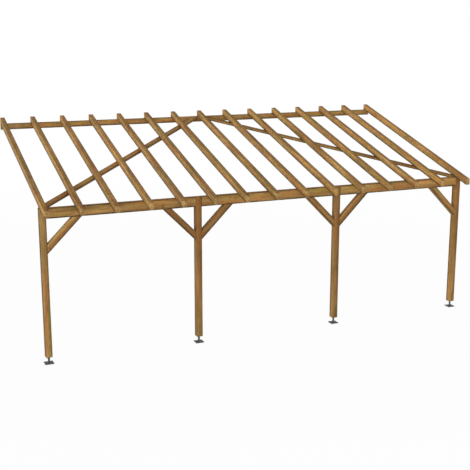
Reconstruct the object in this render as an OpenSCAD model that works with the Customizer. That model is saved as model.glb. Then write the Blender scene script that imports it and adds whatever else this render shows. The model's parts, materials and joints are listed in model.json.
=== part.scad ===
// Lean-to carport: an open timber frame that stands on four posts and leans on a wall.
// The origin is the centre of the wall plate's back face.
// X runs along the wall, +Y points into the wall and +Z is up.

/* [Roof] */
// Number of rafters
rafter_count = 15; // [7:1:21]
// Distance between the centres of neighbouring rafters
rafter_spacing = 500; // [400:5:600]
// Width of a rafter
rafter_w = 75; // [50:1:88]
// Height of a rafter, square to its slope
rafter_h = 95; // [75:1:150]
// Pitch of the roof in degrees
pitch = 16.65; // [8:0.05:24]
// Distance from the wall to the front face of the front beam
frame_depth = 3045; // [2200:5:4000]
// Reach of the rafters past the front beam
overhang = 260; // [100:5:500]
// Length of the level seat that a rafter has on the front beam
beam_seat = 38; // [25:1:60]

/* [Beam and wall plate] */
// Depth of the front beam, from front to back
beam_w = 95; // [70:1:130]
// Height of the front beam
beam_h = 147; // [110:1:240]
// Clear height from the ground to the front beam
clear_h = 2130; // [1900:5:2600]
// Depth of the wall plate, from front to back
plate_w = 60; // [50:1:100]
// Height of the wall plate
plate_h = 97; // [80:1:160]

/* [Posts] */
// Side of a square post
post_side = 95; // [75:1:120]

/* [Timber] */
// Chamfer along the long edges of every timber
arris = 3; // [1:0.5:6]

/* [Braces] */
// Height of a knee brace, square to its length
knee_w = 93; // [60:1:110]
// Thickness of a knee brace, from front to back
knee_t = 90; // [60:1:90]
// Reach of a knee brace along the post and along the beam
knee_reach = 506; // [350:1:700]
// Width of a wind brace
wind_w = 91; // [60:1:120]
// Thickness of a wind brace
wind_t = 34; // [22:1:45]

/* [Feet] */
// Height of a foot, from the ground to the post
foot_h = 100; // [95:1:160]
// Side of a base plate
base_side = 131; // [110:1:160]
// Thickness of a base plate
base_t = 8; // [5:0.5:12]
// Radius of the corners of the base plates and head plates
plate_corner = 8; // [3:0.5:12]
// Diameter of an anchor hole
anchor_d = 12; // [8:0.5:14]
// Distance between anchor holes, along and across
anchor_spacing = 90; // [70:1:94]
// Outer diameter of the sleeve on a base plate
sleeve_d = 30; // [27:0.5:40]
// Height of the sleeve
sleeve_h = 55; // [45:1:60]
// Leg of the weld between a sleeve and its base plate
weld_leg = 5; // [3:0.5:7]
// Diameter of the threaded rod
rod_d = 20; // [14:0.5:22]
// Length of the rod inside the sleeve
rod_grip = 40; // [20:1:44]
// Width of the adjusting nut across its flats
nut_flats = 32; // [30:0.5:40]
// Height of the adjusting nut
nut_h = 16; // [10:0.5:18]
// Side of the head plate under a post
head_side = 70; // [50:1:74]
// Thickness of a head plate
head_t = 5; // [3:0.5:8]

/* [Hidden] */
// Share of the beam's depth that a post's front cheek takes
cheek_share = 1 / 2;
// Running gap round the rod in its sleeve, and round its thread in the nut
rod_gap = 0.3;
thread_gap = 0.1;
// Length that a cut or a rough piece runs past the finished face
overrun = 60;
// Fineness of round parts, and the sides of a nut
$fn = 64;
nut_sides = 6;
// Slope of a nut's chamfers in degrees, and the flat ring inside them as a share of the nut's width
nut_slope = 30;
nut_face_share = 0.95;
// Radius of the turned blank of a nut as a share of its corners' radius
nut_blank_share = 1.1;

// Colours
timber = "#a87a42";
dark_steel = "#4b4e52";
zinc_steel = "#9a9c9c";

// Places along the wall: the end posts stand under the end rafters, the others divide the beam evenly
span = (rafter_count - 1) * rafter_spacing;
post_names = ["left_end", "left_middle", "right_middle", "right_end"];
beam_len = span + post_side;
beam_bay = beam_len / (len(post_names) - 1);
function post_x(i) = max(-span / 2, min(span / 2, -beam_len / 2 + i * beam_bay));
function rafter_x(i) = -span / 2 + i * rafter_spacing;

// Faces from front to back
wall_y = 0;
plate_front_y = wall_y - plate_w;
beam_front_y = wall_y - frame_depth;
beam_back_y = beam_front_y + beam_w;
rafter_front_y = beam_front_y - overhang;
post_mid_y = beam_front_y + post_side / 2;
cheek_t = cheek_share * beam_w;

// Levels: the underside of the rafters meets the top of the wall plate at the wall
plate_top_z = plate_h / 2;
function underside_z(y) = plate_top_z + (y - wall_y) * tan(pitch);
beam_top_z = underside_z(beam_front_y + beam_seat);
beam_bottom_z = beam_top_z - beam_h;
roof_top_z = plate_top_z + rafter_h / cos(pitch);
ground_z = beam_bottom_z - clear_h;
post_bottom_z = ground_z + foot_h;

// Length of the wall plate, and the radius of a nut's corners
plate_len = span + rafter_w;
nut_corner_r = nut_flats / 2 / cos(180 / nut_sides);

// Each knee brace is named by its post and the side it leans to
knees = [
    [0, 1, "left_end_knee"],
    [1, -1, "left_middle_outer_knee"],
    [1, 1, "left_middle_inner_knee"],
    [2, -1, "right_middle_inner_knee"],
    [2, 1, "right_middle_outer_knee"],
    [3, -1, "right_end_knee"],
];
winds = [[1, "left_wind_brace"], [-1, "right_wind_brace"]];

function two_digits(n) = str(n < 10 ? "0" : "", n);
function rafter_name(i) = str("rafter_", two_digits(i + 1));

// An outline from the origin, with its four corners eased
module eased_section(width, height) {
    polygon([
        [arris, 0],
        [width - arris, 0],
        [width, arris],
        [width, height - arris],
        [width - arris, height],
        [arris, height],
        [0, height - arris],
        [0, arris],
    ]);
}

// A timber along X from the origin
module timber_bar(length, width, height) {
    rotate([90, 0, 90])
        linear_extrude(length)
            eased_section(width, height);
}

// The front beam is halved over each post, whose front cheek fills the notch
module front_beam() {
    color(timber)
        difference() {
            translate([-beam_len / 2, beam_front_y, beam_bottom_z])
                timber_bar(beam_len, beam_w, beam_h);
            for (i = [0 : len(post_names) - 1])
                beam_notch(i);
        }
}

// An end notch runs out through the end of the beam
module beam_notch(i) {
    left_end = i == 0 ? overrun : 0;
    right_end = i == len(post_names) - 1 ? overrun : 0;
    translate([post_x(i) - post_side / 2 - left_end, beam_front_y - overrun, beam_bottom_z - overrun])
        cube([post_side + left_end + right_end, cheek_t + overrun, beam_h + 2 * overrun]);
}

module wall_plate() {
    color(timber)
        translate([-plate_len / 2, plate_front_y, -plate_h / 2])
            timber_bar(plate_len, plate_w, plate_h);
}

// A post's front cheek runs on up to the top of the beam, and the rest of the post ends under the beam
module post(i) {
    color(timber)
        translate([post_x(i) - post_side / 2, beam_front_y, post_bottom_z])
            difference() {
                linear_extrude(beam_top_z - post_bottom_z)
                    eased_section(post_side, post_side);
                translate([-overrun, cheek_t, beam_bottom_z - post_bottom_z])
                    cube([post_side + 2 * overrun, post_side, beam_h + overrun]);
            }
}

// A rafter has plumb ends, and a birdsmouth over the beam and over the wall plate
module rafter(i) {
    cut_w = rafter_w + 2 * overrun;
    color(timber)
        translate([rafter_x(i) - rafter_w / 2, 0, 0])
            difference() {
                intersection() {
                    sloping_bar();
                    across_rafter(rafter_front_y, ground_z)
                        cube([cut_w, wall_y - rafter_front_y, roof_top_z + overrun - ground_z]);
                }
                across_rafter(beam_front_y, beam_bottom_z)
                    cube([cut_w, beam_w, beam_h]);
                across_rafter(plate_front_y, -plate_h / 2)
                    cube([cut_w, plate_w + overrun, plate_h]);
            }
}

// The uncut timber of a rafter, longer than the rafter at both ends
module sloping_bar() {
    translate([0, wall_y, plate_top_z])
        rotate([pitch, 0, 0])
            translate([0, rafter_h, 0])
                rotate([90, 0, 0])
                    linear_extrude(rafter_h + (wall_y - rafter_front_y) / cos(pitch) + overrun)
                        eased_section(rafter_w, rafter_h);
}

// A cut through a rafter's whole width
module across_rafter(y, z) {
    translate([-overrun, y, z])
        children();
}

// A knee brace is cut level under the beam and plumb against the post
module knee_brace(i, side) {
    color(timber)
        translate([post_x(i) + side * post_side / 2, post_mid_y - knee_t / 2, beam_bottom_z])
            mirror([side < 0 ? 1 : 0, 0, 0])
                intersection() {
                    translate([0, 0, -knee_reach])
                        rotate([0, -45, 0])
                            translate([-knee_w, 0, 0])
                                timber_bar(knee_reach / cos(45) + 2 * knee_w, knee_t, knee_w);
                    translate([0, -overrun, -knee_reach - overrun])
                        cube([knee_reach + overrun, knee_t + 2 * overrun, knee_reach + overrun]);
                }
}

// A wind brace lies under the rafters, from the outer face of the end rafter behind the beam
// to the near face of the middle rafter at the wall plate, with both ends cut plumb
module wind_brace(side) {
    start = [rafter_x(0) - rafter_w / 2, beam_back_y / cos(pitch)];
    finish = [-rafter_w / 2, plate_front_y / cos(pitch)];
    run = norm(finish - start);
    angle = atan2(finish[1] - start[1], finish[0] - start[0]) + asin(wind_w / run);
    color(timber)
        mirror([side < 0 ? 1 : 0, 0, 0])
            intersection() {
                translate([0, 0, plate_top_z])
                    rotate([pitch, 0, 0])
                        translate(start)
                            rotate(angle)
                                translate([-wind_w * 2, -wind_w, -wind_t])
                                    timber_bar(run + 4 * wind_w, wind_w, wind_t);
                translate([start[0], beam_back_y, beam_bottom_z])
                    cube([finish[0] - start[0], plate_front_y - beam_back_y, plate_top_z - beam_bottom_z]);
            }
}

// What belongs to a foot is drawn from the ground up, below its post
module under_post(i) {
    translate([post_x(i), post_mid_y, ground_z])
        children();
}

// A square plate about the middle, with round corners
module plate(side, thickness) {
    inset = side / 2 - plate_corner;
    linear_extrude(thickness) {
        square([side, 2 * inset], center = true);
        square([2 * inset, side], center = true);
        for (x = [-1, 1], y = [-1, 1])
            translate([x * inset, y * inset])
                circle(r = plate_corner);
    }
}

// The base plate has four anchor holes, and carries the welded sleeve for the rod
module foot_base(i) {
    color(dark_steel)
        under_post(i)
            difference() {
                union() {
                    plate(base_side, base_t);
                    cylinder(h = base_t + sleeve_h, d = sleeve_d);
                    translate([0, 0, base_t])
                        cylinder(h = weld_leg, d1 = sleeve_d + 2 * weld_leg, d2 = sleeve_d);
                }
                translate([0, 0, base_t])
                    cylinder(h = sleeve_h + overrun, d = rod_d + 2 * rod_gap);
                for (x = [-1, 1], y = [-1, 1])
                    translate([x * anchor_spacing / 2, y * anchor_spacing / 2, -overrun])
                        cylinder(h = base_t + 2 * overrun, d = anchor_d);
            }
}

// The adjusting nut rests on the sleeve and carries the rod
module foot_nut(i) {
    color(zinc_steel)
        under_post(i)
            translate([0, 0, base_t + sleeve_h])
                difference() {
                    intersection() {
                        cylinder(h = nut_h, r = nut_corner_r, $fn = nut_sides);
                        nut_blank();
                    }
                    translate([0, 0, -overrun])
                        cylinder(h = nut_h + 2 * overrun, d = rod_d + 2 * thread_gap);
                }
}

// The turned blank that gives a nut its chamfered corners
module nut_blank() {
    face_r = nut_face_share * nut_flats / 2;
    blank_r = nut_blank_share * nut_corner_r;
    drop = (blank_r - face_r) * tan(nut_slope);
    rotate_extrude()
        polygon([[0, 0], [face_r, 0], [blank_r, drop], [blank_r, nut_h - drop], [face_r, nut_h], [0, nut_h]]);
}

// The head plate sits under the post, on the threaded rod
module foot_head(i) {
    rod_bottom = base_t + sleeve_h - rod_grip;
    color(zinc_steel)
        under_post(i) {
            translate([0, 0, foot_h - head_t])
                plate(head_side, head_t);
            translate([0, 0, rod_bottom])
                cylinder(h = foot_h - rod_bottom - head_t / 2, d = rod_d);
        }
}

front_beam();
wall_plate();
for (i = [0 : len(post_names) - 1]) {
    post(i);
    foot_base(i);
    foot_nut(i);
    foot_head(i);
}
for (i = [0 : rafter_count - 1])
    rafter(i);
for (k = knees)
    knee_brace(k[0], k[1]);
for (w = winds)
    wind_brace(w[0]);
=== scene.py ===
"""Looks of the lean-to carport: stained pine timbers, steel feet and screws, on a pale studio floor."""
import json
import math
import random

import bmesh
import bpy
from mathutils import Matrix, Vector


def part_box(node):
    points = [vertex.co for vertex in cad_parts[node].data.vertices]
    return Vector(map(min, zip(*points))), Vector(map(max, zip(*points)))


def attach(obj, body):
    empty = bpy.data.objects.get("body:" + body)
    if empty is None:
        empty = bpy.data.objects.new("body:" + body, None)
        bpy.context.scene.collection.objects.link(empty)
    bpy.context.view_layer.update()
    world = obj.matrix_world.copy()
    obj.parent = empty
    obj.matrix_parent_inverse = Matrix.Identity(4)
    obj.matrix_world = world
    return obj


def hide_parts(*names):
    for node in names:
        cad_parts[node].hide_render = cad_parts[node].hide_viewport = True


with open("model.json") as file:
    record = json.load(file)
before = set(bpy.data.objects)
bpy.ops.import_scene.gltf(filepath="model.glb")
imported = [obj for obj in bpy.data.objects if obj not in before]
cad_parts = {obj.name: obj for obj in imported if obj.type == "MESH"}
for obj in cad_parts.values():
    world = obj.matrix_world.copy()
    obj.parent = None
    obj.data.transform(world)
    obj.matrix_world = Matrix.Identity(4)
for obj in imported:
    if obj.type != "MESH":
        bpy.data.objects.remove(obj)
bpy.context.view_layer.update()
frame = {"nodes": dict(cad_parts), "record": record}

# Camera, as the photograph sees the frame, in pixels, degrees and metres
IMAGE_PX = 470
FOCAL_PX = 897.9
SENSOR_MM = 36.0
CAMERA_YAW = 23.325
CAMERA_PITCH = 12.776
CAMERA_DISTANCE = 13.734
AIM_LEFT_OF_MIDDLE = 0.5773
AIM_ABOVE_GROUND = 1.6346
AIM_Y = -3.0

# Light: a white room, brightest low on the front left and dimmest overhead
WHITE = (1.0, 1.0, 1.0, 1.0)
SKY_MEAN = 1.77
SKY_LEAN = (-0.54, -0.28, -1.98)
SKY_LOW = 0.60

# Floor: the share of plain white near the object, and from where to where it fades to all white, in metres
FLOOR_WHITE = 0.95
FLOOR_FADE = (5.0, 16.0)
FLOOR_SIZE = 60.0
FLOOR_PALE = (0.92, 0.92, 0.92)
FLOOR_CLOUD = (0.86, 0.86, 0.86)
FLOOR_CLOUD_SHARE = 0.04
FLOOR_CLOUD_RATE = 3.0

# Colours of the timber, and tints that multiply them
PALE_WOOD = (0.440, 0.268, 0.096)
DARK_WOOD = (0.235, 0.117, 0.027)
WARM_STAIN = (0.375, 0.148, 0.039)
OLIVE_STAIN = (0.268, 0.184, 0.041)
KNOT_WOOD = (0.100, 0.043, 0.015)
# Painted shade: a dark strip along the arrises
ARRIS_SHADE = (0.055, 0.032, 0.013)
CHECK_DARK = (0.040, 0.020, 0.009)
# Painted shade, darkening the faces that look up
UPWARD_SHADE_TINT = (0.592, 0.561, 0.525)
END_GRAIN_TINT = (1.00, 1.07, 1.28)

# Noises in the timber, as waves in a metre along the grain and across it
WANDER_RATES = (0.8, 3.0)
RIPPLE_RATES = (1.6, 14.0)
PATCH_RATES = (1.3, 11.0)
MOTTLE_RATES = (10.0, 34.0)
STREAK_RATES = (3.2, 95.0)
FIBRE_RATES = (26.0, 900.0)
WARM_RATES = (1.0, 19.0)
OLIVE_RATES = (1.3, 23.0)
CHECK_RATES = (1.1, 1.0)
ARRIS_RATES = (5.0, 40.0)
NOISE_MIDDLE = 0.5
SEED_MIDDLE = 0.5
SEED_SHIFT_ALONG = 60.0
SEED_SHIFT_ACROSS = 9.0

# Rings round the pith, in metres, and the parts of a year at which a ring darkens and ends
PITH_SPREAD = 0.10
PITH_WANDER = 0.05
PITH_DEEP = -0.018
PITH_DEEP_SPREAD = 0.075
PITH_DEEP_WANDER = 0.03
RING_WIDTH = 0.0048
RING_RIPPLE = 0.012
RING_BULGE = 0.012
RING_DARKENS = (0.35, 0.90)
RING_ENDS = (1.0, 0.94)
LATE_SHARE = 0.55

# Knots, in metres, with the rates of their cells along the pith and round it
WHORL_RATE = 1.7
WHORL_SHIFT = 3.0
TURN_RATE = 0.75
TURN_SEED_SHIFT = 31.0
KNOT_MISSING_SHARE = 0.35
KNOT_LEAST = 0.004
KNOT_SPREAD = 0.011
KNOT_HALO = 0.055
KNOT_FLATTENING = 1.25
KNOT_CORE_SHARE = 0.72
KNOT_RIM_SHARE = 1.5
KNOT_STAIN_SHARE = 0.70
KNOT_RIM_STAIN_SHARE = 0.50

# Stain: the bands in which each noise takes hold, and how much it then changes
STREAK_BAND = (0.30, 0.75)
STREAK_SHARE = 0.34
WARM_BAND = (0.42, 0.66)
WARM_SHARE = 0.75
OLIVE_BAND = (0.46, 0.68)
OLIVE_SHARE = 0.80
PATCH_BAND = (0.30, 0.70)
PATCH_TONES = (0.72, 1.28)
FIBRE_BAND = (0.25, 0.75)
FIBRE_TONES = (0.92, 1.07)
MOTTLE_BAND = (0.32, 0.68)

# Drying checks: widths and depths in metres, and how the angle differs between timbers and along them
CHECK_WIDTH = 0.0010
CHECK_LEAST_WIDTH = 1e-6
CHECK_TURNS = 40.0
CHECK_WANDER = 2.2
CHECK_BAND = (0.46, 0.62)
CHECK_DEPTHS = (0.004, 0.030)
CHECK_CORE_SHARE = 0.3
CHECK_DARK_SHARE = 0.85

# Arrises, in metres, with the ways in which the lit, far and lower ones face: for painted highlight and
# shade
# The side from which the light falls: the arrises that face it get a painted highlight
LIT_SIDE = Vector((-0.80, -0.40, 0.40))
LIT_FACING = (0.88, 1.13)
FAR_FACING = (0.32, 0.39)
FAR_FACING_ENDS = (0.60, 0.50)
LOW_ARRIS_RISE = (-0.15, -0.60)
LOW_ARRIS_UPRIGHT = (-0.45, -0.15)
ARRIS_REACH = 0.011
ARRIS_REACH_BAND = (0.25, 0.75)
ARRIS_REACH_SHARES = (0.3, 1.7)
ARRIS_CORE_SHARE = 0.2
SHADE_REACH_SHARE = 2.2
# Painted shade within a band of each arris, deepest on the far and lower arrises
EDGE_SHADE_WITHIN = (0.0, 0.050)
EDGE_SHADE_TONE = 0.84
DEEP_SHADE_TONE = 0.68
INNER_TONE = 1.03
# Painted highlight on the arrises of the lit side, except on faces that look up
HIGHLIGHT_WITHIN = (0.0, 0.060)
HIGHLIGHT_TONE = 1.22
FAR_SHADE_SHARE = 0.85

# Painted light and shade by facing: faces that slope up are painted lighter, and faces that look up painted
# darker
SLOPING_UP = (0.45, 0.68)
SLOPING_LIGHT_TONE = 1.25
LOOKING_UP = (0.80, 0.95)

# The wood's surface
FIBRE_HEIGHT = 0.45
LATE_HEIGHT = 0.35
KNOT_HEIGHT = 0.5
CHECK_HEIGHT = 3.0
WOOD_BUMP = 0.30
WOOD_RELIEF = 0.0012
WOOD_ROUGHNESS = 0.64
STREAK_ROUGHNESS = 0.16
LATE_SMOOTHNESS = 0.08
WOOD_SPECULAR = 0.14

# The tone of each timber as the photo shows it, and how much it takes of each finish
TONES = {
    "left_end_post": 0.83,
    "left_middle_post": 0.68,
    "right_middle_post": 0.65,
    "right_end_post": 0.76,
    "left_end_knee": 0.87,
    "left_middle_outer_knee": 0.82,
    "left_middle_inner_knee": 0.65,
    "right_middle_inner_knee": 0.86,
    "right_middle_outer_knee": 0.71,
    "right_end_knee": 0.79,
    "wall_plate": 1.12,
    "front_beam": 1.16,
    "rafter": 1.04,
    "left_wind_brace": 1.28,
    "right_wind_brace": 0.82,
}
TONE_SPREAD = 0.10
WARMTH = {
    "left_end_post": -0.10,
    "right_middle_post": 0.14,
    "post": 0.22,
    "left_end_knee": -0.04,
    "left_middle_outer_knee": 0.45,
    "left_middle_inner_knee": 0.28,
    "right_end_knee": -0.15,
    "knee": 0.20,
    "wall_plate": 0.10,
    "front_beam": 0.02,
    "rafter": 0.0,
    "wind_brace": 0.05,
}
ARRIS_SHARES = {
    "post": 0.55,
    "knee": 0.75,
    "wall_plate": 0.80,
    "front_beam": 1.00,
    "rafter": 0.90,
    "wind_brace": 0.80,
}
MOTTLING = {
    "post": 0.08,
    "knee": 0.10,
    "wall_plate": 0.12,
    "front_beam": 0.06,
    "rafter": 0.18,
    "wind_brace": 0.16,
}

# What tone and warmth gain from the foot of a post to its top, or from the left of a beam to its right
LEANS = {
    "left_middle_post": (-0.15, 0.60),
    "right_end_post": (-0.18, 0.65),
    "wall_plate": (-0.10, 0.25),
    "front_beam": (0.18, -0.10),
}

# Painted light and shade on sides of timbers: sides that are painted darker or paler than the rest, with the
# way that they face
LEFT = Vector((-1.0, 0.0, 0.0))
BRACE_FRONT = Vector((0.7, -0.7, 0.0)).normalized()
SIDE_SHADES = {
    "left_end_post": (LEFT, 0.50),
    "front_beam": (LEFT, 0.50),
    "wall_plate": (LEFT, 0.60),
    "right_middle_post": (LEFT, 1.33),
    "right_end_post": (LEFT, 1.20),
    "rafter_01": (LEFT, 0.94),
    "left_wind_brace": (BRACE_FRONT, 0.58),
}
SIDE_FACING = 0.90

# Shapes of the timbers: rounding in metres, angles in degrees, and cosines that tell ends and sides apart
ROUNDING = 0.0008
ROUNDING_STEPS = 2
ROUNDED_OVER = 25.0
MERGED_WITHIN = 1e-5
FLAT_WITHIN = 0.5
SIDE_SQUARE_TO = 0.1
END_FACING = 0.6

# Steel: colours as they are and where they are scuffed, and the rates of its noises in a metre
PAINT_COLOUR = (0.080, 0.081, 0.083)
PAINT_SCUFFED = (0.14, 0.14, 0.145)
ZINC_COLOUR = (0.095, 0.097, 0.10)
ZINC_SCUFFED = (0.17, 0.17, 0.17)
SCREW_COLOUR = (0.26, 0.165, 0.065)
SCREW_SCUFFED = (0.42, 0.29, 0.13)
CLOUD_RATE = 38.0
CLOUD_BAND = (0.3, 0.7)
CLOUD_ROUGHNESS = 0.18
CLOUD_HEIGHT = 0.4
GRAIN_RATE = 900.0
GRAIN_HEIGHT = 0.6
SCUFF_RATE = 120.0
SCUFF_BAND = (0.60, 0.72)
SCUFF_SHARE = 0.5
STEEL_BUMP = 0.25
STEEL_RELIEF = 0.0004

# Wood screws, in metres. Each loop of the head has a reach, the depth of its lobes and a height, as shares
SCREW_HEAD = 0.013
SCREW_STEPS = 24
SCREW_LOBES = 6
SCREW_LOOP_SHARES = (
    (1.00, 0.00, -0.08),
    (1.00, 0.00, 0.05),
    (0.94, 0.00, 0.10),
    (0.58, 0.00, 0.15),
    (0.42, 0.10, 0.15),
    (0.38, 0.10, -0.06),
)
SCREW_SMOOTH_UNDER = 40.0
LAP_SCREW_ASIDE = 0.022
LAP_SCREW_ABOVE = 0.044
KNEE_SCREW_IN = 0.085
SEAT_SCREW_IN = 0.025
BRACE_SCREW_IN = 0.1
PAIR_ASIDE = 0.022

# Feet, in metres
HEAD_PLATE = 0.005
HEAD_CORNER = 0.008
CORNER_STEPS = 6
BASE_PLATE = 0.008
STEEL_ROUNDING = 0.0007
STEEL_ROUNDED_OVER = 60.0
STEEL_SMOOTH_UNDER = 35.0

# The threaded rod, in metres
ROD_RADIUS = 0.010
ROD_STEPS = 20
THREAD_PITCH = 0.0025
THREAD_DEPTH = 0.0013
ROWS_IN_PITCH = 6

# The weld round the sleeve, in metres
SLEEVE_RADIUS = 0.015
WELD_LEG = 0.0055
WELD_ROOT = 0.002
WELD_IN = 0.0005
WELD_DOWN = 0.0003
WELD_RIPPLES = 24
WELD_STEPS = 144
WELD_ARC_STEPS = 6
WELD_LEAST_SHARE = 0.92
WELD_RIPPLE_SHARE = 0.10

# The lag screws under the head plate, in metres
LAG_WIDTH = 0.013
LAG_IN = 0.012
LAG_STEPS = 36
LAG_HEIGHT_SHARE = 0.45
LAG_FLAT_SHARE = 0.85
LAG_TURNED_SHARE = 0.96
WASHER_HEIGHT_SHARE = 0.18
WASHER_REACH_SHARE = 1.15

# The posts, and the knees with the way in which each leans out from its post: 1 is to the right
POSTS = ("left_end", "left_middle", "right_middle", "right_end")
KNEE_LEANS = {
    "left_end_knee": 1,
    "left_middle_outer_knee": -1,
    "left_middle_inner_knee": 1,
    "right_middle_inner_knee": -1,
    "right_middle_outer_knee": 1,
    "right_end_knee": -1,
}
mounts = {mount["name"]: mount for mount in frame["record"]["mounts"]}
ground_z = mounts["left_end_ground_face"]["pos_m"][2]
roof_point = Vector(mounts["rafter_top_face"]["pos_m"])
roof_normal = Vector(mounts["rafter_top_face"]["axis"]).normalized()
seeds = random.Random(41)


class Graph:
    """A node tree for looks. Each call adds a node and gives back its output."""

    def __init__(self, tree):
        self.tree = tree
        self.tree.nodes.clear()

    def feed(self, socket, value):
        if isinstance(value, bpy.types.NodeSocket):
            self.tree.links.new(value, socket)
        elif value is not None:
            socket.default_value = value

    def node(self, kind, inputs, **settings):
        made = self.tree.nodes.new("ShaderNode" + kind)
        for name, value in settings.items():
            setattr(made, name, value)
        for key, value in inputs.items():
            self.feed(made.inputs[key], value)
        return made

    def math(self, operation, a, b=None):
        made = self.node("Math", {0: a}, operation=operation)
        self.feed(made.inputs[1], b)
        return made.outputs[0]

    def add(self, a, b):
        return self.math("ADD", a, b)

    def times(self, a, b):
        return self.math("MULTIPLY", a, b)

    def less(self, a, b):
        return self.math("SUBTRACT", a, b)

    def size(self, a):
        return self.math("ABSOLUTE", a)

    def sign(self, a):
        return self.math("SIGN", a)

    def most(self, a, b):
        return self.math("MAXIMUM", a, b)

    def between(self, share, a, b):
        """The number a at a share of zero, and b at a share of one."""
        return self.add(a, self.times(share, self.less(b, a)))

    def length(self, a, b):
        return self.math("SQRT", self.add(self.times(a, a), self.times(b, b)))

    def attribute(self, name):
        """The three numbers of a mesh attribute."""
        return self.split(self.node("Attribute", {}, attribute_name=name).outputs["Vector"])

    def split(self, vector):
        return self.node("SeparateXYZ", {0: vector}).outputs

    def join(self, x, y, z):
        return self.node("CombineXYZ", {0: x, 1: y, 2: z}).outputs[0]

    def noise(self, vector, scale=1.0, detail=3.0, roughness=0.55):
        inputs = {"Vector": vector, "Scale": scale, "Detail": detail, "Roughness": roughness}
        return self.node("TexNoise", inputs).outputs[0]

    def fade(self, value, band, ends=(0.0, 1.0)):
        """Runs smoothly from the first of the ends to the second, while the value crosses the band."""
        inputs = {"Value": value, "From Min": band[0], "From Max": band[1]}
        inputs.update({"To Min": ends[0], "To Max": ends[1]})
        return self.node("MapRange", inputs, interpolation_type="SMOOTHSTEP").outputs[0]

    def mix(self, share, a, b, blend="MIX"):
        made = self.node("Mix", {0: share}, data_type="RGBA", blend_type=blend)
        self.feed(made.inputs[6], a if isinstance(a, bpy.types.NodeSocket) else (*a, 1.0))
        self.feed(made.inputs[7], b if isinstance(b, bpy.types.NodeSocket) else (*b, 1.0))
        return made.outputs[2]

    def shade(self, colour, tone):
        """The colour, lighter or darker by a factor."""
        return self.mix(1.0, colour, self.join(tone, tone, tone), blend="MULTIPLY")

    def bump(self, height, strength, distance):
        inputs = {"Height": height, "Strength": strength, "Distance": distance}
        return self.node("Bump", inputs).outputs[0]

    def seen(self):
        """One for rays from the camera, and for gloss and glass."""
        path = self.node("LightPath", {}).outputs
        straight = self.most(path["Is Camera Ray"], path["Is Glossy Ray"])
        return self.most(straight, path["Is Transmission Ray"])

    def principled(self, **inputs):
        sockets = {name.replace("_", " "): value for name, value in inputs.items()}
        return self.node("BsdfPrincipled", sockets).outputs[0]

    def finish(self, shader, output="OutputMaterial"):
        self.tree.links.new(shader, self.node(output, {}).inputs[0])


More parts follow.
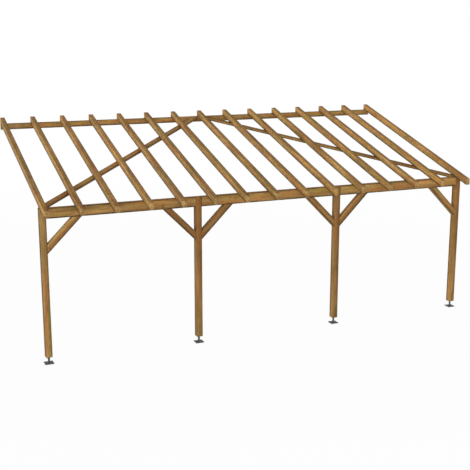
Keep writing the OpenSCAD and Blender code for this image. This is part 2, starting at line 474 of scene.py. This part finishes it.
class Pine(Graph):
    """Stained pine in three dimensions, from the attributes that each timber's mesh carries."""

    def __init__(self, tree):
        super().__init__(tree)
        self.along, self.across, self.deep = self.attribute("grain")
        self.seed_a, self.seed_b, self.seed_c = self.attribute("seed")
        self.piece_tone, self.piece_warmth, self.mottling = self.attribute("finish")
        self.side_tone, self.end, _ = self.attribute("side")
        self.up = self.split(self.node("NewGeometry", {}).outputs["True Normal"])[2]
        self.place = self.add(self.along, self.times(self.seed_a, SEED_SHIFT_ALONG))
        self.find_pith()

    def grain_noise(self, rates, detail=3.0):
        """Noise that is drawn out along the grain, and differs from timber to timber."""
        lengthwise, crosswise = rates
        side = self.add(self.times(self.across, crosswise), self.times(self.seed_b, SEED_SHIFT_ACROSS))
        depth = self.add(self.times(self.deep, crosswise), self.times(self.seed_c, SEED_SHIFT_ACROSS))
        return self.noise(self.join(self.times(self.place, lengthwise), side, depth), detail=detail)

    def find_pith(self):
        """How far the point lies from the pith, which wanders a little along the timber."""
        self.wander = self.less(self.grain_noise(WANDER_RATES), NOISE_MIDDLE)
        spread_across = self.times(self.less(self.seed_b, SEED_MIDDLE), PITH_SPREAD)
        spread_deep = self.less(PITH_DEEP, self.times(self.seed_c, PITH_DEEP_SPREAD))
        pith_across = self.add(spread_across, self.times(self.wander, PITH_WANDER))
        pith_deep = self.add(spread_deep, self.times(self.wander, PITH_DEEP_WANDER))
        self.off_across = self.less(self.across, pith_across)
        self.off_deep = self.less(self.deep, pith_deep)
        self.radius = self.length(self.off_across, self.off_deep)

    def knots(self):
        """Branches that run out from the pith: each knot, its rim, and the halo where the rings bend."""
        angle = self.math("ARCTAN2", self.off_deep, self.off_across)
        whorl = self.add(self.times(self.place, WHORL_RATE), WHORL_SHIFT)
        turn = self.add(self.times(angle, TURN_RATE), self.times(self.seed_b, TURN_SEED_SHIFT))
        inputs = {"Vector": self.join(whorl, turn, 0.0), "Scale": 1.0}
        cells = self.node("TexVoronoi", inputs, voronoi_dimensions="2D").outputs
        chance, size_chance, _ = self.split(cells["Color"])
        knot_whorl, knot_turn, _ = self.split(cells["Position"])
        from_along = self.times(self.less(whorl, knot_whorl), 1.0 / WHORL_RATE)
        from_turn = self.times(self.times(self.less(turn, knot_turn), 1.0 / TURN_RATE), self.radius)
        distance = self.length(from_along, self.times(from_turn, KNOT_FLATTENING))
        present = self.math("GREATER_THAN", chance, KNOT_MISSING_SHARE)
        size = self.times(self.add(self.times(size_chance, KNOT_SPREAD), KNOT_LEAST), present)
        knot = self.fade(distance, (size, self.times(size, KNOT_CORE_SHARE)))
        rim = self.fade(distance, (self.times(size, KNOT_RIM_SHARE), size))
        halo = self.times(present, self.fade(distance, (KNOT_HALO, 0.0)))
        return knot, rim, halo

    def late_wood(self, halo):
        """The dark part of each ring, in rings that flow round the knots."""
        ripple = self.less(self.grain_noise(RIPPLE_RATES), NOISE_MIDDLE)
        bulge = self.times(self.times(halo, halo), RING_BULGE)
        ring_radius = self.add(self.add(self.radius, self.times(ripple, RING_RIPPLE)), bulge)
        year = self.math("FRACT", self.times(ring_radius, 1.0 / RING_WIDTH))
        return self.times(self.fade(year, RING_DARKENS), self.fade(year, RING_ENDS))

    def tone(self, fibres):
        """The tone of the timber with patches, mottles and fibres, and the painted light and shade of its
        side.
        """
        patches = self.fade(self.grain_noise(PATCH_RATES, detail=4.0), PATCH_BAND, PATCH_TONES)
        mottles = self.fade(self.grain_noise(MOTTLE_RATES), MOTTLE_BAND, (-1.0, 1.0))
        tone = self.times(patches, self.times(self.piece_tone, self.side_tone))
        tone = self.times(tone, self.fade(fibres, FIBRE_BAND, FIBRE_TONES))
        return self.times(tone, self.add(1.0, self.times(mottles, self.mottling)))

    def stained(self, late, streaks):
        """Rings and streaks of pale and dark wood, under a warm stain and an olive one."""
        warm = self.fade(self.grain_noise(WARM_RATES, detail=5.0), WARM_BAND)
        olive = self.fade(self.grain_noise(OLIVE_RATES, detail=5.0), OLIVE_BAND)
        streak_share = self.times(self.fade(streaks, STREAK_BAND), STREAK_SHARE)
        colour = self.mix(self.add(self.times(late, LATE_SHARE), streak_share), PALE_WOOD, DARK_WOOD)
        colour = self.mix(self.add(self.times(warm, WARM_SHARE), self.piece_warmth), colour, WARM_STAIN)
        return self.mix(self.times(olive, OLIVE_SHARE), colour, OLIVE_STAIN)

    def drying_check(self):
        """A crack out from the pith, which opens and closes along the timber."""
        turn = self.add(self.times(self.seed_a, CHECK_TURNS), self.times(self.wander, CHECK_WANDER))
        x = self.math("COSINE", turn)
        y = self.math("SINE", turn)
        aside = self.size(self.less(self.times(self.off_across, y), self.times(self.off_deep, x)))
        outward = self.add(self.times(self.off_across, x), self.times(self.off_deep, y))
        opening = self.fade(self.grain_noise(CHECK_RATES), CHECK_BAND)
        opening = self.times(opening, self.fade(outward, CHECK_DEPTHS))
        width = self.add(self.times(opening, CHECK_WIDTH), CHECK_LEAST_WIDTH)
        return self.fade(aside, (width, self.times(width, CHECK_CORE_SHARE)))

    def arris_kinds(self):
        """How far the nearest arris faces the lit side, turns away to the far left, or looks down, for
        painted highlight and shade.
        """
        sign_across = self.sign(self.across)
        sign_deep = self.sign(self.deep)
        self.arris_share, lit_across, lit_deep = self.attribute("arris_shading")
        _, rise_across, rise_deep = self.attribute("rise")
        facing = self.add(self.times(sign_across, lit_across), self.times(sign_deep, lit_deep))
        rise = self.add(self.times(sign_across, rise_across), self.times(sign_deep, rise_deep))
        lit_arris = self.fade(facing, LIT_FACING)
        far = self.times(self.fade(facing, FAR_FACING), self.fade(facing, FAR_FACING_ENDS))
        low_arris = self.times(self.fade(rise, LOW_ARRIS_RISE), self.fade(self.up, LOW_ARRIS_UPRIGHT))
        return lit_arris, far, self.most(far, low_arris)

    def with_arrises(self, colour):
        """Painted shade gathers along the arrises, most on the far and lower ones. The arrises of the lit
        side get a painted highlight.
        """
        lit_arris, far, deep_shade = self.arris_kinds()
        _, half_across, half_deep = self.attribute("half")
        inside_across = self.less(half_across, self.size(self.across))
        inside_deep = self.less(half_deep, self.size(self.deep))
        inside = self.most(inside_across, inside_deep)

        edge_tone = self.between(deep_shade, EDGE_SHADE_TONE, DEEP_SHADE_TONE)
        edge_shade = self.fade(inside, EDGE_SHADE_WITHIN, (edge_tone, INNER_TONE))
        lit_tone = self.fade(self.up, LOOKING_UP, (HIGHLIGHT_TONE, 1.0))
        highlight_tone = self.fade(inside, HIGHLIGHT_WITHIN, (lit_tone, 1.0))
        colour = self.shade(colour, self.between(lit_arris, edge_shade, highlight_tone))

        reaches = [share * ARRIS_REACH for share in ARRIS_REACH_SHARES]
        reach = self.fade(self.grain_noise(ARRIS_RATES), ARRIS_REACH_BAND, reaches)
        reach = self.times(reach, self.between(deep_shade, 1.0, SHADE_REACH_SHARE))
        arris = self.fade(inside, (reach, self.times(reach, ARRIS_CORE_SHARE)))
        arris = self.times(arris, self.less(1.0, self.end))
        share = self.between(far, self.between(lit_arris, self.arris_share, 0.0), FAR_SHADE_SHARE)
        return self.mix(self.times(arris, share), colour, ARRIS_SHADE)

    def shaded_by_facing(self, colour):
        """Painted light and shade by facing: faces that slope up are painted lighter, and faces that look up
        darker.
        """
        colour = self.shade(colour, self.fade(self.up, SLOPING_UP, (1.0, SLOPING_LIGHT_TONE)))
        return self.mix(self.fade(self.up, LOOKING_UP), colour, UPWARD_SHADE_TINT, blend="MULTIPLY")


def new_material(name, graph=Graph):
    material = bpy.data.materials.new(name)
    material.use_nodes = True
    return material, graph(material.node_tree)


def timber_material():
    """Stained pine: rings round a pith, knots that they flow round, streaks of stain, dark arrises of
    painted shade, and painted light by facing.
    """
    material, g = new_material("stained_pine", Pine)
    knot, knot_rim, halo = g.knots()
    late = g.late_wood(halo)
    check = g.drying_check()
    streaks = g.grain_noise(STREAK_RATES)
    fibres = g.grain_noise(FIBRE_RATES, detail=2.0)

    colour = g.shade(g.stained(late, streaks), g.tone(fibres))
    colour = g.mix(g.times(knot_rim, KNOT_RIM_STAIN_SHARE), colour, KNOT_WOOD)
    colour = g.mix(g.times(knot, KNOT_STAIN_SHARE), colour, g.mix(late, WARM_STAIN, KNOT_WOOD))
    colour = g.mix(g.end, colour, END_GRAIN_TINT, blend="MULTIPLY")
    colour = g.mix(g.times(check, CHECK_DARK_SHARE), colour, CHECK_DARK)
    # Painted highlight and shade along the arrises, then painted light and shade by the way each face looks
    colour = g.shaded_by_facing(g.with_arrises(colour))

    height = g.add(g.times(fibres, FIBRE_HEIGHT), g.times(late, LATE_HEIGHT))
    height = g.less(g.add(height, g.times(knot, KNOT_HEIGHT)), g.times(check, CHECK_HEIGHT))
    rough = g.less(WOOD_ROUGHNESS, g.times(late, LATE_SMOOTHNESS))
    rough = g.add(g.times(streaks, STREAK_ROUGHNESS), rough)
    normal = g.bump(height, WOOD_BUMP, WOOD_RELIEF)
    shine = {"Roughness": rough, "Specular_IOR_Level": WOOD_SPECULAR}
    g.finish(g.principled(Base_Color=colour, Normal=normal, **shine))
    return material


def steel_material(name, colour, scuffed, metallic, roughness, mottle):
    """Steel with a mottled finish, a fine grainy surface and scuffs."""
    material, g = new_material(name)
    place = g.node("TexCoord", {}).outputs["Object"]
    clouds = g.noise(place, CLOUD_RATE, detail=4.0)
    grains = g.noise(place, GRAIN_RATE, detail=2.0)
    scuffs = g.fade(g.noise(place, SCUFF_RATE, detail=5.0, roughness=0.7), SCUFF_BAND)
    base = g.mix(g.times(scuffs, SCUFF_SHARE), colour, scuffed)
    base = g.shade(base, g.fade(clouds, CLOUD_BAND, (1.0 - mottle, 1.0 + mottle)))
    rough = g.add(g.times(clouds, CLOUD_ROUGHNESS), roughness - CLOUD_ROUGHNESS / 2)
    height = g.add(g.times(grains, GRAIN_HEIGHT), g.times(clouds, CLOUD_HEIGHT))
    normal = g.bump(height, STEEL_BUMP, STEEL_RELIEF)
    g.finish(g.principled(Base_Color=base, Metallic=metallic, Roughness=rough, Normal=normal))
    return material


def floor_material():
    """A pale floor that keeps the object's soft shadow, and fades to the white of the room."""
    material, g = new_material("pale_floor")
    place = g.node("TexCoord", {}).outputs["Object"]
    x, y, _ = g.split(place)
    far = g.fade(g.length(x, y), FLOOR_FADE, (FLOOR_WHITE, 1.0))
    clouds = g.times(g.noise(place, FLOOR_CLOUD_RATE), FLOOR_CLOUD_SHARE)
    pale = g.mix(clouds, FLOOR_PALE, FLOOR_CLOUD)
    matt = g.node("BsdfDiffuse", {"Color": pale}).outputs[0]
    white = g.node("Emission", {"Color": WHITE, "Strength": 1.0}).outputs[0]
    g.finish(g.node("MixShader", {0: g.times(g.seen(), far), 1: matt, 2: white}).outputs[0])
    return material


WOOD = timber_material()
PAINT = steel_material(
    "dark_coated_steel", PAINT_COLOUR, PAINT_SCUFFED, metallic=0.30, roughness=0.60, mottle=0.15
)
ZINC = steel_material("zinc_steel", ZINC_COLOUR, ZINC_SCUFFED, metallic=0.7, roughness=0.48, mottle=0.25)
SCREW = steel_material("yellow_zinc", SCREW_COLOUR, SCREW_SCUFFED, metallic=0.7, roughness=0.45, mottle=0.20)


def add_piece(name, bm, material, replaced=None, smooth_under=None):
    """A piece of the object, from a bmesh, that rides on its one body."""
    mesh = bpy.data.meshes.new(name)
    bm.to_mesh(mesh)
    bm.free()
    mesh.materials.append(material)
    if smooth_under is not None:
        mesh.shade_smooth()
        mesh.set_sharp_from_angle(angle=math.radians(smooth_under))
    piece = bpy.data.objects.new(name, mesh)
    bpy.context.scene.collection.objects.link(piece)
    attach(piece, "root")
    if replaced:
        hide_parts(replaced)
    return piece


def node_box(node):
    """The two far corners of a CAD node."""
    low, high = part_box(node)
    return Vector(low), Vector(high)


def node_solid(node):
    """The CAD solid of a node, with one face for each flat side."""
    bm = bmesh.new()
    bm.from_mesh(frame["nodes"][node].data)
    bmesh.ops.remove_doubles(bm, verts=bm.verts, dist=MERGED_WITHIN)
    bmesh.ops.dissolve_limit(bm, angle_limit=math.radians(FLAT_WITHIN), verts=bm.verts, edges=bm.edges)
    bm.normal_update()
    return bm


def round_edges(bm, over_angle, width):
    """Rounds the outer edges that turn by more than an angle in degrees."""
    sharp = [e for e in bm.edges if e.is_convex and e.calc_face_angle(0.0) > math.radians(over_angle)]
    bmesh.ops.bevel(bm, geom=sharp, offset=width, segments=ROUNDING_STEPS, profile=0.5, affect="EDGES")
    bm.normal_update()


def grain_axes(bm):
    """Along the timber's longest edge, across it, and square to its largest side."""
    longest = max(bm.edges, key=lambda e: e.calc_length())
    along = (longest.verts[1].co - longest.verts[0].co).normalized()
    if along.dot(Vector((1.0, 1.0, 1.0))) < 0:
        along = -along
    sides = [f for f in bm.faces if abs(f.normal.dot(along)) < SIDE_SQUARE_TO]
    deep = max(sides, key=lambda f: f.calc_area()).normal.copy()
    return along, deep.cross(along).normalized(), deep


def of_kind(node, table):
    """The table's value for the first kind of piece that the node's name holds."""
    return next(value for kind, value in table.items() if kind in node)


def fill(mesh, name, domain, rows):
    """A new mesh attribute with three numbers in each row."""
    numbers = [number for row in rows for number in row]
    mesh.attributes.new(name, "FLOAT_VECTOR", domain).data.foreach_set("vector", numbers)


def fill_points(mesh, node, axes, halves, places):
    """The place of each point in the grain, and the finish of its timber."""
    seed = [seeds.random() for _ in axes]
    tone = of_kind(node, TONES) * (1.0 + TONE_SPREAD * (seed[2] - SEED_MIDDLE))
    warmth = of_kind(node, WARMTH)
    mottling = of_kind(node, MOTTLING)
    tone_lean, warmth_lean = LEANS.get(node, (0.0, 0.0))
    shares = [along / (2 * halves[0]) for along, _, _ in places]
    finish = [(tone * (1 + tone_lean * s), warmth + warmth_lean * s, mottling) for s in shares]
    # The share of the dark arris strip, and how the sides face the lit side, for painted highlight and shade
    # on the arrises
    arris_shading = (of_kind(node, ARRIS_SHARES), LIT_SIDE.dot(axes[1]), LIT_SIDE.dot(axes[2]))
    rise = [axis.z for axis in axes]
    fill(mesh, "grain", "POINT", places)
    fill(mesh, "finish", "POINT", finish)
    for name, row in (("half", halves), ("seed", seed), ("arris_shading", arris_shading), ("rise", rise)):
        fill(mesh, name, "POINT", [row for _ in mesh.vertices])


def fill_faces(mesh, node, along):
    """The painted light and shade of each face by the way it faces, and one where it is end grain."""
    way, way_shade = SIDE_SHADES.get(node, (LEFT, 1.0))
    sides = []
    for face in mesh.polygons:
        tone = way_shade if face.normal.dot(way) > SIDE_FACING else 1.0
        end = abs(face.normal.dot(along)) > END_FACING
        sides.append((tone, float(end), 0.0))
    fill(mesh, "side", "FACE", sides)


def add_timber(node):
    """The timber with rounded arrises and its own finish. Gives its middle, its axes and its half sizes."""
    bm = node_solid(node)
    axes = grain_axes(bm)
    round_edges(bm, ROUNDED_OVER, ROUNDING)
    spans = [(min(v.co.dot(a) for v in bm.verts), max(v.co.dot(a) for v in bm.verts)) for a in axes]
    middles = [(low + high) / 2 for low, high in spans]
    halves = [(high - low) / 2 for low, high in spans]
    mesh = add_piece(node + "_timber", bm, WOOD, node).data
    places = [[v.co.dot(a) - m for a, m in zip(axes, middles)] for v in mesh.vertices]
    fill_points(mesh, node, axes, halves, places)
    fill_faces(mesh, node, axes[0])
    middle = sum((a * m for a, m in zip(axes, middles)), Vector())
    return middle, axes, halves


def skin(bm, loops, ring=False):
    """A closed skin over loops of equally many points, which ends in flat faces or runs in a ring."""
    rows = [[bm.verts.new(point) for point in loop] for loop in loops]
    if ring:
        rows.append(rows[0])
    for low, high in zip(rows, rows[1:]):
        for i in range(len(low)):
            j = (i + 1) % len(low)
            bm.faces.new((low[i], low[j], high[j], high[i]))
    if not ring:
        bm.faces.new(list(reversed(rows[0])))
        bm.faces.new(rows[-1])


def turns_of(steps):
    """Equal steps round a full turn, in radians."""
    return [2 * math.pi * step / steps for step in range(steps)]


def round_loop(centre, reaches, z):
    """A loop round an upright axis, with one reach for each of its points."""
    points = zip(reaches, turns_of(len(reaches)))
    return [Vector((centre[0] + r * math.cos(t), centre[1] + r * math.sin(t), z)) for r, t in points]


def rounded_square(centre, half, corner, z):
    """The outline of a square plate with round corners."""
    points = []
    reach = (half - corner) * math.sqrt(2)
    for quarter in range(4):
        start = math.pi / 2 * quarter
        x = centre[0] + reach * math.cos(start + math.pi / 4)
        y = centre[1] + reach * math.sin(start + math.pi / 4)
        for step in range(CORNER_STEPS + 1):
            turn = start + math.pi / 2 * step / CORNER_STEPS
            points.append(Vector((x + corner * math.cos(turn), y + corner * math.sin(turn), z)))
    return points


def screw_head(bm, place, normal):
    """The head of a wood screw with a six-lobed socket, a hair proud of the timber."""
    here = Matrix.Translation(place) @ normal.to_track_quat("Z", "Y").to_matrix().to_4x4()
    radius = SCREW_HEAD / 2
    turns = turns_of(SCREW_STEPS)
    loops = []
    for reach, lobe, height in SCREW_LOOP_SHARES:
        reaches = [radius * reach * (1 + lobe * math.cos(SCREW_LOBES * turn)) for turn in turns]
        loops.append([here @ point for point in round_loop((0.0, 0.0), reaches, radius * height)])
    skin(bm, loops)


def lag_head(bm, place):
    """A lag screw's hexagon head with a washer, hanging under a plate."""
    height = LAG_WIDTH * LAG_HEIGHT_SHARE
    washer = height * WASHER_HEIGHT_SHARE
    half = LAG_WIDTH / 2
    sixth = math.pi / 3
    flats = [half / math.cos((turn + sixth / 2) % sixth - sixth / 2) for turn in turns_of(LAG_STEPS)]
    corner = max(flats)
    rims = [corner * WASHER_REACH_SHARE for _ in flats]
    skin(bm, [round_loop(place, rims, place[2] - washer), round_loop(place, rims, place[2])])
    turned = [min(reach, half * LAG_TURNED_SHARE) for reach in flats]
    levels = ((turned, height), (flats, height * LAG_FLAT_SHARE), (flats, washer))
    skin(bm, [round_loop(place, reaches, place[2] - drop) for reaches, drop in levels])


def weld_bead(bm, centre, top):
    """A rippled weld bead round the foot of the sleeve, closed inside the steel."""
    ripples = [abs(math.sin(WELD_RIPPLES / 2 * turn)) for turn in turns_of(WELD_STEPS)]
    legs = [WELD_LEG * (WELD_LEAST_SHARE + WELD_RIPPLE_SHARE * ripple) for ripple in ripples]
    loops = []
    for step in range(WELD_ARC_STEPS + 1):
        lift = math.pi / 2 * step / WELD_ARC_STEPS
        bead = round_loop(centre, [SLEEVE_RADIUS - WELD_IN + leg * math.cos(lift) for leg in legs], top)
        for point, leg in zip(bead, legs):
            point.z += leg * math.sin(lift) - WELD_DOWN
        loops.append(bead)
    loops.append(round_loop(centre, [SLEEVE_RADIUS - WELD_ROOT for _ in legs], top - WELD_ROOT))
    skin(bm, loops, ring=True)


def threaded_rod(bm, centre, low, high):
    """A rod with a real thread, turned off at its lower end."""
    rows = int((high - low) / THREAD_PITCH * ROWS_IN_PITCH)
    loops = [round_loop(centre, [ROD_RADIUS - 2 * THREAD_DEPTH for _ in range(ROD_STEPS)], low)]
    for row in range(rows + 1):
        z = low + THREAD_DEPTH + (high - low - THREAD_DEPTH) * row / rows
        phases = [((z - low) / THREAD_PITCH - step / ROD_STEPS) % 1.0 for step in range(ROD_STEPS)]
        reaches = [ROD_RADIUS - THREAD_DEPTH * abs(2 * phase - 1) for phase in phases]
        loops.append(round_loop(centre, reaches, z))
    skin(bm, loops)


def add_foot(post):
    """Welded base, adjusting nut, and head plate on a threaded rod with four lag screws."""
    base_low, base_high = node_box(post + "_foot_base")
    head_low, head_high = node_box(post + "_foot_head")
    centre = (base_low + base_high) / 2

    bm = node_solid(post + "_foot_base")
    round_edges(bm, STEEL_ROUNDED_OVER, STEEL_ROUNDING)
    weld_bead(bm, centre, base_low.z + BASE_PLATE)
    base_node = post + "_foot_base"
    add_piece(base_node + "_steel", bm, PAINT, base_node, STEEL_SMOOTH_UNDER)

    nut = frame["nodes"][post + "_foot_nut"].data
    nut.materials.clear()
    nut.materials.append(ZINC)

    bm = bmesh.new()
    half = (head_high.x - head_low.x) / 2
    under = head_high.z - HEAD_PLATE
    cut = STEEL_ROUNDING
    levels = ((under, cut), (under + cut, 0.0), (head_high.z - cut, 0.0), (head_high.z, cut))
    skin(bm, [rounded_square(centre, half - inset, HEAD_CORNER, z) for z, inset in levels])
    threaded_rod(bm, centre, head_low.z, under)
    head_node = post + "_foot_head"
    add_piece(head_node + "_steel", bm, ZINC, head_node, STEEL_SMOOTH_UNDER)

    bm = bmesh.new()
    reach = half - LAG_IN
    for side_x in (-1, 1):
        for side_y in (-1, 1):
            lag_head(bm, (centre.x + side_x * reach, centre.y + side_y * reach, under))
    add_piece(post + "_head_plate_screws", bm, ZINC, smooth_under=STEEL_SMOOTH_UNDER)


def on_roof(x, y):
    """The point of the rafters' top plane over x and y."""
    drop = roof_normal.y * (y - roof_point.y) / roof_normal.z
    return Vector((x, y, roof_point.z - drop))


def lap_screws(bm):
    """Four screws through each post's cheek into the halved beam."""
    beam_low, beam_high = node_box("front_beam")
    for post in POSTS:
        low, high = node_box(post + "_post")
        for side_x in (-1, 1):
            for side_z in (-1, 1):
                x = (low.x + high.x) / 2 + side_x * LAP_SCREW_ASIDE
                z = (beam_low.z + beam_high.z) / 2 + side_z * LAP_SCREW_ABOVE
                screw_head(bm, Vector((x, low.y, z)), Vector((0.0, -1.0, 0.0)))


def rafter_screws(bm, rafters):
    """A screw down through each rafter over the beam, and one over the wall plate."""
    beam_low, _ = node_box("front_beam")
    plate_low, plate_high = node_box("wall_plate")
    for rafter in rafters:
        low, high = node_box(rafter)
        for y in (beam_low.y + SEAT_SCREW_IN, (plate_low.y + plate_high.y) / 2):
            screw_head(bm, on_roof((low.x + high.x) / 2, y), roof_normal)


def knee_screws(bm):
    """Two screws up through each end of a knee brace."""
    for knee, lean in KNEE_LEANS.items():
        low, high = node_box(knee)
        foot = Vector((low.x if lean > 0 else high.x, (low.y + high.y) / 2, low.z))
        run = Vector((lean, 0.0, 1.0)).normalized()
        normal = Vector((lean, 0.0, -1.0)).normalized()
        length = (high.z - low.z) * math.sqrt(2)
        for distance in (KNEE_SCREW_IN, length - KNEE_SCREW_IN):
            for side in (-1, 1):
                screw_head(bm, foot + run * distance + Vector((0.0, side * PAIR_ASIDE, 0.0)), normal)


def wind_screws(bm, brace, shape, rafters):
    """Two screws up through a wind brace into each rafter that it crosses."""
    middle, (run, side, deep), halves = shape
    low, high = node_box(brace)
    across, thick = (side, halves[2]) if halves[1] > halves[2] else (deep, halves[1])
    for rafter in rafters:
        rafter_low, rafter_high = node_box(rafter)
        x = (rafter_low.x + rafter_high.x) / 2
        if low.x + BRACE_SCREW_IN < x < high.x - BRACE_SCREW_IN:
            place = middle + run * ((x - middle.x) / run.x) - roof_normal * thick
            for sign in (-1, 1):
                screw_head(bm, place + across * sign * PAIR_ASIDE, -roof_normal)


def add_screws(timbers):
    """The screw heads at every joint of the timbers, one piece for each kind of joint."""
    rafters = [node for node in timbers if node.startswith("rafter")]
    heads = {name: bmesh.new() for name in ("beam_lap", "rafter_seat", "knee", "wind_brace")}
    lap_screws(heads["beam_lap"])
    rafter_screws(heads["rafter_seat"], rafters)
    knee_screws(heads["knee"])
    for brace in ("left_wind_brace", "right_wind_brace"):
        wind_screws(heads["wind_brace"], brace, timbers[brace], rafters)
    for name, bm in heads.items():
        add_piece(name + "_screws", bm, SCREW, smooth_under=SCREW_SMOOTH_UNDER)


def add_floor():
    """A flat floor at ground level, which is no part of the object."""
    mesh = bpy.data.meshes.new("floor")
    corners = [(x * FLOOR_SIZE, y * FLOOR_SIZE, ground_z) for x, y in ((-1, -1), (1, -1), (1, 1), (-1, 1))]
    mesh.from_pydata(corners, [], [(0, 1, 2, 3)])
    mesh.materials.append(floor_material())
    floor = bpy.data.objects.new("floor", mesh)
    bpy.context.scene.collection.objects.link(floor)


def add_camera():
    """A camera that sees the frame from the photograph's place."""
    yaw = math.radians(CAMERA_YAW)
    pitch = math.radians(CAMERA_PITCH)
    look = Vector((math.sin(yaw) * math.cos(pitch), math.cos(yaw) * math.cos(pitch), -math.sin(pitch)))
    aim = Vector((-AIM_LEFT_OF_MIDDLE, AIM_Y, ground_z + AIM_ABOVE_GROUND))
    data = bpy.data.cameras.new("camera")
    data.sensor_width = SENSOR_MM
    data.lens = FOCAL_PX / IMAGE_PX * SENSOR_MM
    camera = bpy.data.objects.new("camera", data)
    camera.location = aim - look * CAMERA_DISTANCE
    camera.rotation_mode = "QUATERNION"
    camera.rotation_quaternion = look.to_track_quat("-Z", "Y")
    bpy.context.scene.collection.objects.link(camera)
    bpy.context.scene.camera = camera


def add_world():
    """A white room: plain white to the camera and in gloss, with a soft light that leans to the left."""
    world = bpy.data.worlds.new("studio")
    bpy.context.scene.world = world
    world.use_nodes = True
    g = Graph(world.node_tree)
    way = g.node("TexCoord", {}).outputs["Generated"]
    lean = g.node("VectorMath", {0: way, 1: SKY_LEAN}, operation="DOT_PRODUCT").outputs["Value"]
    strength = g.most(g.add(lean, SKY_MEAN), SKY_LOW)
    light = g.node("Background", {"Color": WHITE, "Strength": strength}).outputs[0]
    plain = g.node("Background", {"Color": WHITE, "Strength": 1.0}).outputs[0]
    g.finish(g.node("MixShader", {0: g.seen(), 1: light, 2: plain}).outputs[0], "OutputWorld")


timbers = {node: add_timber(node) for node in sorted(frame["nodes"]) if "_foot_" not in node}
for post in POSTS:
    add_foot(post)
add_screws(timbers)
add_floor()
add_camera()
add_world()

bpy.context.scene.view_settings.view_transform = "Standard"
